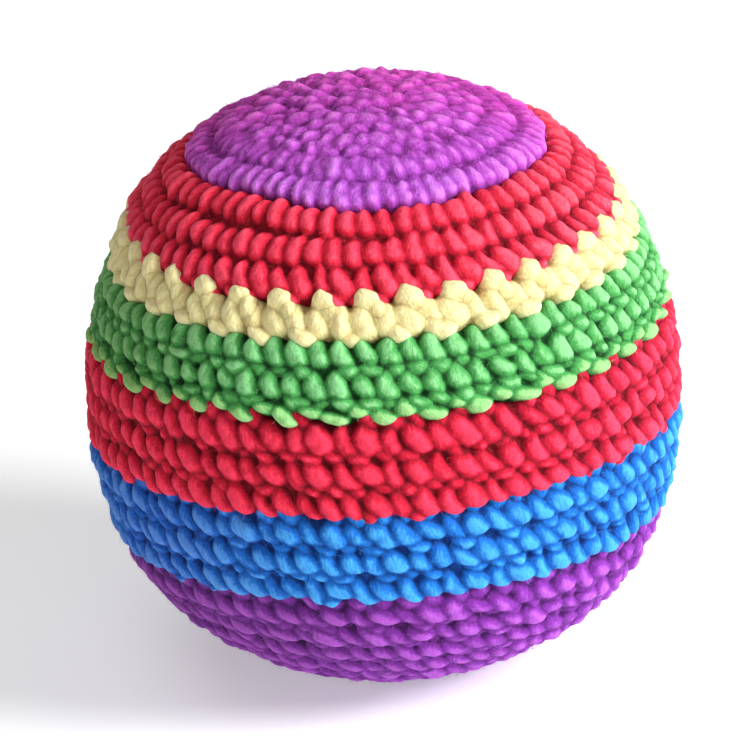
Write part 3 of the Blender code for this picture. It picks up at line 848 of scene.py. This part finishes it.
def clothMaterial():
    # plain weave: the product of a wave round the pouch and one up it stands for threads going over
    # and under
    threadsAround, weftPitch = 190.0, 0.8
    material, tree, shader = newMaterial("liner cloth", {"Roughness": 0.85})
    place = addNode(tree, "ShaderNodeTexCoord").outputs["Object"]
    x, y, z = addNode(tree, "ShaderNodeSeparateXYZ", {0: place}).outputs
    angle = mathNode(tree, "ARCTAN2", y, x)
    warp = mathNode(tree, "SINE", mathNode(tree, "MULTIPLY", angle, threadsAround))
    arc = addNode(tree, "ShaderNodeAttribute", attribute_name="arc").outputs["Fac"]
    weft = mathNode(tree, "SINE", mathNode(tree, "MULTIPLY", arc, 2 * math.pi / weftPitch))
    weave = mathNode(tree, "MULTIPLY", warp, weft)
    slubs = noiseNode(tree, place, 900.0, 4.0, 0.7)
    share = mathNode(tree, "MULTIPLY_ADD", weave, 0.25, slubs)
    colour = mixNode(tree, share, (0.58, 0.54, 0.46), (0.84, 0.82, 0.76))
    coverShader(tree, shader, colour, (0.6, 0.12 * mm, weave), (0.4, 0.1 * mm, slubs))
    return material


def threadMaterial():
    # pale cotton, with painted shade making it darker between the plies
    material, tree, shader = newMaterial("tie thread", {"Roughness": 0.7})
    place = addNode(tree, "ShaderNodeTexCoord").outputs["Object"]
    between = addNode(tree, "ShaderNodeAttribute", attribute_name="between").outputs["Fac"]
    fibres = noiseNode(tree, place, 5000.0, 3.0)
    # painted shade in the grooves between the plies
    share = mathNode(tree, "MULTIPLY_ADD", fibres, 0.5, between)
    colour = mixNode(tree, share, (0.90, 0.88, 0.84), (0.52, 0.48, 0.42))
    coverShader(tree, shader, colour, (0.5, 0.05 * mm, fibres))
    return material


def pelletMaterial():
    # moulded pellets: each cell of a Voronoi pattern is one, domed, of its own tone, with painted shade
    # darkening the gaps between them
    material, tree, shader = newMaterial("pellet plastic", {"Roughness": 0.42})
    place = addNode(tree, "ShaderNodeTexCoord").outputs["Object"]
    cells = addNode(tree, "ShaderNodeTexVoronoi", {"Vector": place, "Scale": 330.0}).outputs
    shade = addNode(tree, "ShaderNodeSeparateColor", {0: cells["Color"]}).outputs[0]
    colour = mixNode(tree, shade, (0.84, 0.84, 0.82), (0.60, 0.65, 0.68))
    # painted shade: the gaps between the pellets go nearly black
    gapShade = rangeNode(tree, cells["Distance"], 0.35, 0.75)
    colour = mixNode(tree, gapShade, colour, (0.12, 0.12, 0.12))
    coverShader(tree, shader, colour, (1.0, 0.9 * mm, cells["Distance"]), invert=True)
    return material


pouchPiece, tiePiece = addPouch(), addTie()
pouchPiece.data.materials.append(clothMaterial())
tiePiece.data.materials.append(threadMaterial())
standFor(pouchPiece, "liner_pouch")
standFor(tiePiece, "liner_tie")
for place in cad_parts["pellet_fill"].material_slots:
    place.material = pelletMaterial()
print("inside: pouch, tie and pellets")

# Loose fibres that stand off the yarn.
fuzz = {
    "perSquare": 1.9,        # fibres on each mm2 of the ball
    "lengths": (0.25 * mm, 0.85 * mm),
    "radius": 0.013 * mm,
    "rise": (8 * deg, 60 * deg),  # from the surface
    "curl": 0.45,            # how far a fibre's end strays sideways, as a share of its length
    "fall": 0.30,            # and back down
    "stations": (-0.08, 0.3, 0.68, 1.0),  # along it: its two ends and the rings between them
    "firstSeed": 100,        # added to its band's
}


def fuzzOfBand(spec, latitudes, skin):
    # spindles of two three-sided rings and two pointed ends. Their middles lie at
    # root + length x (s along + s^2 (curl sideways - fall outward)), with s from 0 to 1
    random = np.random.default_rng(spec["seed"] + fuzz["firstSeed"])
    low, high = (math.sin(edge * deg) for edge in spec["edges"])
    area = 2 * math.pi * (ball["halfWidth"] / mm) ** 2 * (high - low)
    count = int(area * fuzz["perSquare"] * spec.get("fuzz", 1))
    latitude = np.arcsin(np.clip(random.uniform(low, high, count), -1, 1))
    azimuth = random.uniform(0, 2 * math.pi, count)
    rows, around = skin.shape
    row = np.round((latitude - latitudes[0]) / (latitudes[1] - latitudes[0])).astype(int)
    column = np.round(azimuth * around / (2 * math.pi)).astype(int) % around
    root = ballPoint(latitude, azimuth, -skin[np.clip(row, 0, rows - 1), column] * mm)
    east, north = eastAndNorth(latitude, azimuth)
    outward = np.cross(east, north)
    heading = random.uniform(0, 2 * math.pi, (count, 1))
    rise = random.uniform(*fuzz["rise"], (count, 1))
    length = random.uniform(*fuzz["lengths"], (count, 1))
    flat = np.cos(heading) * east + np.sin(heading) * north
    along = np.cos(rise) * flat + np.sin(rise) * outward
    sideways = np.cross(outward, flat)
    above = np.cross(along, sideways)
    curl = fuzz["curl"] * random.normal(0, 1, (count, 1)) * sideways
    stray = curl - fuzz["fall"] * np.sin(rise) * outward
    middles = (root + length * (s * along + s * s * stray) for s in fuzz["stations"])
    tail, lower, upper, tip = (middle[:, None] for middle in middles)
    turn = turns(3)[:, None]
    ring = fuzz["radius"] * (np.cos(turn) * sideways[:, None] + np.sin(turn) * above[:, None])
    points = np.concatenate([tail, lower + ring, upper + ring, tip], axis=1)
    points[:, :, 2] = np.maximum(points[:, :, 2], 0.0)

    # a fibre's points are its tail 0, its rings 1 to 3 and 4 to 6, and its tip 7
    start = 8 * np.arange(count)[:, None, None]
    side, nextSide = np.arange(3), (np.arange(3) + 1) % 3
    quads = start + together(1 + side, 1 + nextSide, 4 + nextSide, 4 + side)
    ends = together(0, 1 + nextSide, 1 + side), together(7, 4 + side, 4 + nextSide)
    triangles = start + np.concatenate(ends)
    across = math.ceil(math.sqrt(count))
    cell = together(np.arange(count) % across, np.arange(count) // across)[:, None, None, :]
    quadMap = mapOf((side, 1), (side + 1, 1), (side + 1, 2), (side, 2))
    fanMap = np.concatenate([
        mapOf((side + 0.5, 0), (side + 1, 1), (side, 1)),
        mapOf((side + 0.5, 3), (side, 2), (side + 1, 2)),
    ])
    inCells = ((inset(part / 3, 8 * mapMargin) + cell) / across for part in (quadMap, fanMap))
    cornerMap = np.concatenate([part.reshape(-1, 2) for part in inCells])
    tone = np.repeat(random.uniform(0, 1, count), 8)
    return points.reshape(-1, 3), quads.reshape(-1, 4), triangles.reshape(-1, 3), tone, cornerMap


def fuzzMaterial(name, middle, highlightColour):
    # a dull fibre between the yarn's middle colour and its painted-highlight colour, by its own tone
    # and fine streaks
    material, tree, shader = newMaterial(name, {"Roughness": 0.85, "Specular IOR Level": 0.2})
    place = addNode(tree, "ShaderNodeTexCoord").outputs["Object"]
    tone = addNode(tree, "ShaderNodeAttribute", attribute_name="tone").outputs["Fac"]
    streaks = noiseNode(tree, place, 2600.0, 2.0)
    share = mathNode(tree, "MULTIPLY_ADD", streaks, 0.6, tone)
    coverShader(tree, shader, mixNode(tree, share, middle, highlightColour), (0.3, 0.01 * mm, streaks))
    return material


for band in bands:
    points, quads, triangles, tone, cornerMap = fuzzOfBand(band, *band["skin"])
    name = band["name"].replace("yarn", "fuzz")
    piece = makeMesh(name, points, quads, triangles, {"tone": tone}, cornerMap)
    piece.data.materials.append(fuzzMaterial(name, *band["colours"][1:3]))
    standFor(piece, band["node"])
    print("fuzz:", name, len(points) // 8, "fibres")

# Floor, light and camera. A lamp is its place, size and watts.
studio = {
    "floorHalf": 3,
    "floor": {
        "Base Color": (0.9, 0.9, 0.9, 1),
        "Roughness": 0.9,
        "Emission Color": (1, 1, 1, 1),
        "Emission Strength": 0.36,
    },
    "world": 0.18,
    "lamps": {
        "key": ((0.63, -0.30, 0.41), 0.35, 8.9),
        "fill": ((0.20, -0.88, 0.22), 0.60, 2.2),
        "top": ((-0.25, -0.15, 0.85), 0.60, 1.6),
    },
    "elevation": 23.25 * deg,
    "roll": 4.07 * deg,
    "distance": 1.0,
    "lens": 512,
    "sensor": 36,
    "shift": (-0.0088, -0.0009),
    "clip": (0.01, 20),
}
scene = bpy.context.scene
middle = Vector((0, 0, ball["centreHeight"]))

floorMesh = bpy.data.meshes.new("floor")
half = studio["floorHalf"]
floorCorners = [(-half, -half, 0), (half, -half, 0), (half, half, 0), (-half, half, 0)]
floorMesh.from_pydata(floorCorners, [], [(0, 1, 2, 3)])
floor = bpy.data.objects.new("floor", floorMesh)
scene.collection.objects.link(floor)
floorMesh.materials.append(newMaterial("pale floor", studio["floor"])[0])

world = bpy.data.worlds.new("studio")
world.use_nodes = True
world.node_tree.nodes["Background"].inputs["Color"].default_value = (1, 1, 1, 1)
world.node_tree.nodes["Background"].inputs["Strength"].default_value = studio["world"]
scene.world = world

for name, (place, size, watts) in studio["lamps"].items():
    lamp = bpy.data.lights.new(name, "AREA")
    lamp.shape, lamp.size, lamp.energy = "DISK", size, watts
    lampObject = bpy.data.objects.new(name, lamp)
    lampObject.location = place
    lampObject.rotation_euler = (middle - Vector(place)).to_track_quat("-Z", "Y").to_euler()
    scene.collection.objects.link(lampObject)

camera = bpy.data.cameras.new("photograph")
camera.lens, camera.sensor_width = studio["lens"], studio["sensor"]
camera.shift_x, camera.shift_y = studio["shift"]
camera.clip_start, camera.clip_end = studio["clip"]
cameraObject = bpy.data.objects.new("photograph", camera)
scene.collection.objects.link(cameraObject)
scene.camera = cameraObject
back = Vector((0, -math.cos(studio["elevation"]), math.sin(studio["elevation"])))
turn = (-back).to_track_quat("-Z", "Y").to_matrix() @ Matrix.Rotation(-studio["roll"], 3, "Z")
cameraObject.matrix_world = Matrix.Translation(middle + studio["distance"] * back) @ turn.to_4x4()
scene.view_settings.view_transform = "Standard"

print("footbag: ready")
